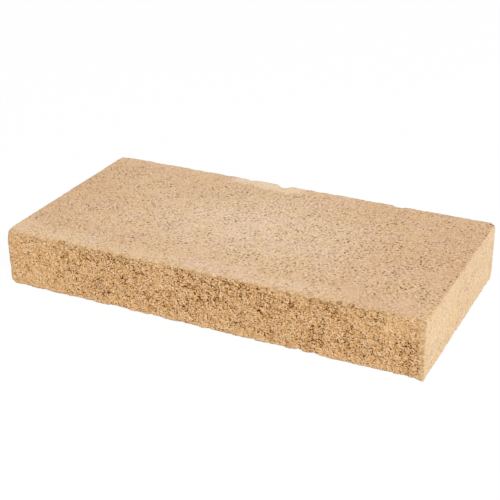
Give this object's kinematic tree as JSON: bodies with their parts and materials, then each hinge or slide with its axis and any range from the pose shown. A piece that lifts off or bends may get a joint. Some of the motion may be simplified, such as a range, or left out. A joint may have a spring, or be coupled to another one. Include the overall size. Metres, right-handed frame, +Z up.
{
  "type": "refractory firebrick",
  "caption": "Thin rectangular fireclay firebrick with one coarse long side and chipped edges, for lining stoves, ovens and kilns.",
  "frame": {"origin": "middle of the bed face that the brick lies on", "axes": "+X along the length, +Y away from the coarse long side towards the back side, +Z up through the thickness"},
  "size_m": [0.2286, 0.1142, 0.0318],
  "materials": {
    "fireclay": "matt, unglazed, open-grained"
  },
  "bodies": {
    "root": {"firebrick": "fireclay"}
  },
  "joints": []
}
